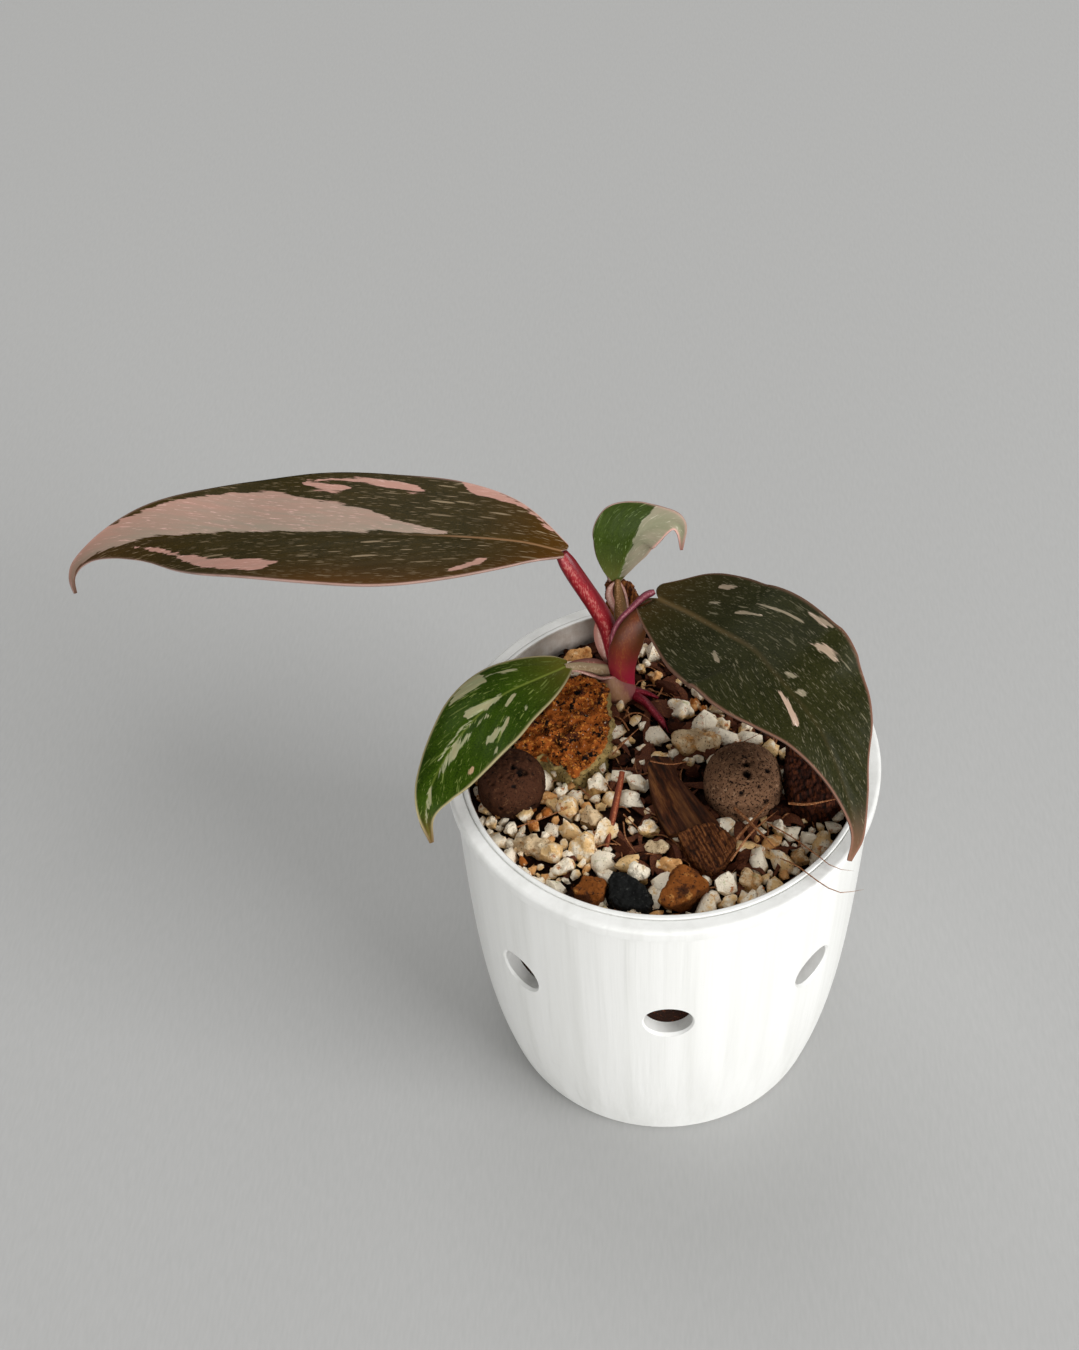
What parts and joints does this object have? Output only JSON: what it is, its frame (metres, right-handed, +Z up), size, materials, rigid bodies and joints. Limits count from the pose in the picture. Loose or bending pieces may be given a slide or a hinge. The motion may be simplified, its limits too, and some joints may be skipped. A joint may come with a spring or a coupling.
{
  "type": "pink princess philodendron in a pot",
  "caption": "Young variegated philodendron with four leaves on red stalks, standing in a chunky bark and pumice mix inside a round white pot with air holes.",
  "frame": {"origin": "centre of the pot's foot, on the surface it stands on", "axes": "+Z up along the pot's axis; the long leaf reaches towards -X and the arching leaf comes forward over the rim towards +X and -Y"},
  "size_m": [0.163, 0.085, 0.1249],
  "materials": {
    "pot_white": "white printed plastic, satin, with fine layer lines",
    "mix_dark": "dark bark and coir mix, dull",
    "lava": "porous rust-coloured lava",
    "clay": "fired clay ball with small pits",
    "husk": "coconut husk, fibrous",
    "bark": "dark bark, fibrous",
    "amber": "smooth amber-brown stone",
    "charcoal": "horticultural charcoal, matt black",
    "pumice": "pale porous pumice",
    "crown": "pale pink-tan plant tissue",
    "petiole_red": "glossy red leaf stalk",
    "petiole_rust": "red to rust-brown sheathed stalk",
    "petiole_brown": "brown-green sheathed stalk",
    "petiole_pink": "pale green to pink stalk",
    "root_red": "smooth dark red root",
    "twig": "thin dry twig",
    "leaf_olive": "dark olive blade with pale pink marbling, waxy",
    "leaf_dark": "dark grey-green blade with pink flecks, waxy",
    "leaf_green": "green blade with a cream half, waxy",
    "leaf_bright": "fresh green blade with pale marbling, waxy"
  },
  "bodies": {
    "root": {"aerial_root": "root_red", "amber_rock": "amber", "bark_back": "bark", "bark_right": "bark", "charcoal": "charcoal", "clay_ball_left": "clay", "clay_ball_right": "clay", "husk_chip": "husk", "husk_end": "husk", "lava_rock": "lava", "lava_small": "lava", "leaf_1": "leaf_olive", "leaf_2": "leaf_dark", "leaf_3": "leaf_green", "leaf_4": "leaf_bright", "petiole_1": "petiole_red", "petiole_2": "petiole_rust", "petiole_3": "petiole_brown", "petiole_4": "petiole_pink", "pot": "pot_white", "potting_mix": "mix_dark", "pumice_01": "pumice", "pumice_02": "pumice", "pumice_03": "pumice", "pumice_04": "pumice", "pumice_05": "pumice", "pumice_06": "pumice", "pumice_07": "pumice", "pumice_08": "pumice", "pumice_09": "pumice", "pumice_10": "pumice", "pumice_11": "pumice", "pumice_12": "pumice", "pumice_13": "pumice", "pumice_14": "pumice", "pumice_15": "pumice", "pumice_16": "pumice", "pumice_17": "pumice", "pumice_18": "amber", "pumice_19": "pumice", "pumice_20": "pumice", "pumice_21": "pumice", "pumice_22": "pumice", "pumice_23": "pumice", "pumice_24": "pumice", "pumice_25": "amber", "pumice_26": "amber", "pumice_27": "pumice", "pumice_28": "pumice", "stem": "crown", "twig": "twig"}
  },
  "joints": []
}
